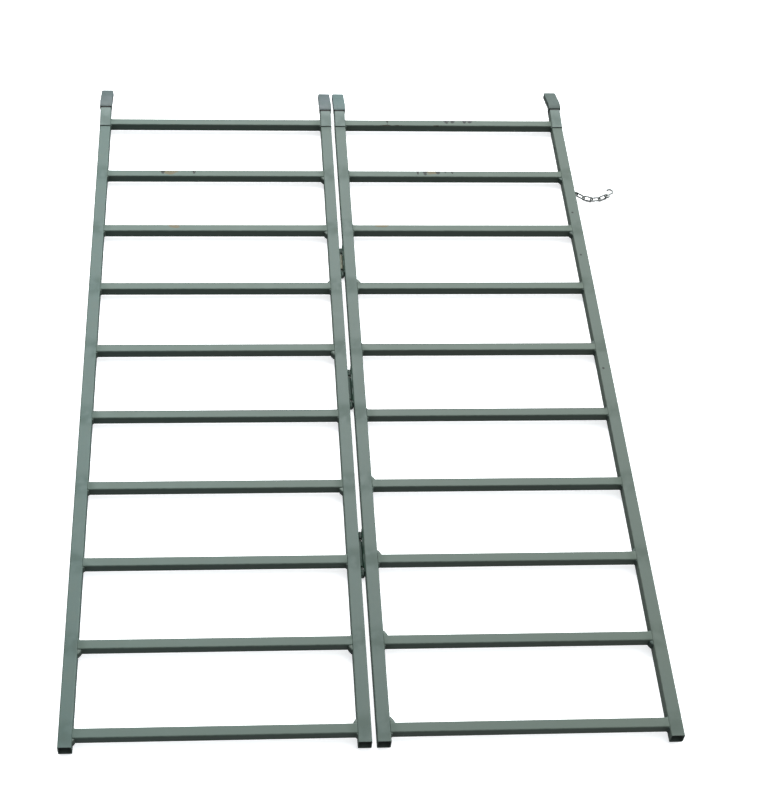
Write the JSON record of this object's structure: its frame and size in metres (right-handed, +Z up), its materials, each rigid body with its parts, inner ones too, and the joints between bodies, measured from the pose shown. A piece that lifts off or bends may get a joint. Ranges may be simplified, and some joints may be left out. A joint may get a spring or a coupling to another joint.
{
  "type": "folding ladder ramp",
  "caption": "Two-leaf folding ladder ramp in welded square steel tube, with kicked-up necks, drop tongues, barrel hinges down the middle and a safety chain.",
  "frame": {"origin": "on the ground, under the fold line between the two leaves, level with the foot ends", "axes": "+X across the ramp to the leaf that carries the chain, +Y from the foot ends to the tongues, +Z up out of the walking face"},
  "size_m": [1.2105, 1.752, 0.0438],
  "materials": {
    "rail_paint": "worn grey-green paint on square steel tube",
    "rung_paint": "worn grey-green paint, chipped to rust along the upper rungs",
    "tongue_paint": "blue-tinged grey-green paint on folded plate",
    "weld_paint": "paint over weld beads",
    "hinge_paint": "dark green paint, worn to metal",
    "pin_steel": "bare steel with light rust",
    "chain_zinc": "bright zinc plate"
  },
  "bodies": {
    "left_leaf": {"left_outer_rail": "rail_paint", "left_inner_rail": "rail_paint", "left_outer_neck": "rail_paint", "left_inner_neck": "rail_paint", "left_outer_tongue": "tongue_paint", "left_inner_tongue": "tongue_paint", "left_rung_1": "rung_paint", "left_rung_2": "rung_paint", "left_rung_3": "rung_paint", "left_rung_4": "rung_paint", "left_rung_5": "rung_paint", "left_rung_6": "rung_paint", "left_rung_7": "rung_paint", "left_rung_8": "rung_paint", "left_rung_9": "rung_paint", "left_rung_10": "rung_paint", "left_weld_beads": "weld_paint", "lower_hinge_barrel": "hinge_paint", "lower_hinge_pin": "pin_steel", "middle_hinge_barrel": "hinge_paint", "middle_hinge_pin": "pin_steel", "upper_hinge_barrel": "hinge_paint", "upper_hinge_pin": "pin_steel"},
    "right_leaf": {"right_inner_rail": "rail_paint", "right_outer_rail": "rail_paint", "right_inner_neck": "rail_paint", "right_outer_neck": "rail_paint", "right_inner_tongue": "tongue_paint", "right_outer_tongue": "tongue_paint", "right_rung_1": "rung_paint", "right_rung_2": "rung_paint", "right_rung_3": "rung_paint", "right_rung_4": "rung_paint", "right_rung_5": "rung_paint", "right_rung_6": "rung_paint", "right_rung_7": "rung_paint", "right_rung_8": "rung_paint", "right_rung_9": "rung_paint", "right_rung_10": "rung_paint", "right_weld_beads": "weld_paint", "lower_hinge_strap": "hinge_paint", "middle_hinge_strap": "hinge_paint", "upper_hinge_strap": "hinge_paint", "chain_eye": "weld_paint"},
    "link_1": {"chain_link_1": "chain_zinc"},
    "link_2": {"chain_link_2": "chain_zinc"},
    "link_3": {"chain_link_3": "chain_zinc"},
    "link_4": {"chain_link_4": "chain_zinc"},
    "hook": {"chain_hook": "chain_zinc"}
  },
  "joints": [
    {"name": "leaf_fold", "type": "hinge", "parent": "left_leaf", "child": "right_leaf", "pos_m": [0, 0.821, 0.0042], "axis": [0, 1, 0], "range_deg": [-6, 180]},
    {"name": "link_1_swing", "type": "hinge", "parent": "right_leaf", "child": "link_1", "pos_m": [0.5625, 1.397, 0.017], "axis": [0, 0, 1], "range_deg": [-25, 5]},
    {"name": "link_2_swing", "type": "hinge", "parent": "link_1", "child": "link_2", "pos_m": [0.57935, 1.39148, 0.00891], "axis": [0.2756, 0.9613, 0], "range_deg": [-25, 15]},
    {"name": "link_3_swing", "type": "hinge", "parent": "link_2", "child": "link_3", "pos_m": [0.59834, 1.38912, 0.00643], "axis": [0.1767, 0.1505, 0.9727], "range_deg": [-25, 25]},
    {"name": "link_4_swing", "type": "hinge", "parent": "link_3", "child": "link_4", "pos_m": [0.61747, 1.39171, 0.0068], "axis": [-0.1041, 0.9907, -0.0872], "range_deg": [-25, 5]},
    {"name": "hook_swing", "type": "hinge", "parent": "link_4", "child": "hook", "pos_m": [0.63416, 1.4016, 0.0068], "axis": [-0.1215, 0.2285, 0.9659], "range_deg": [-25, 25]}
  ]
}
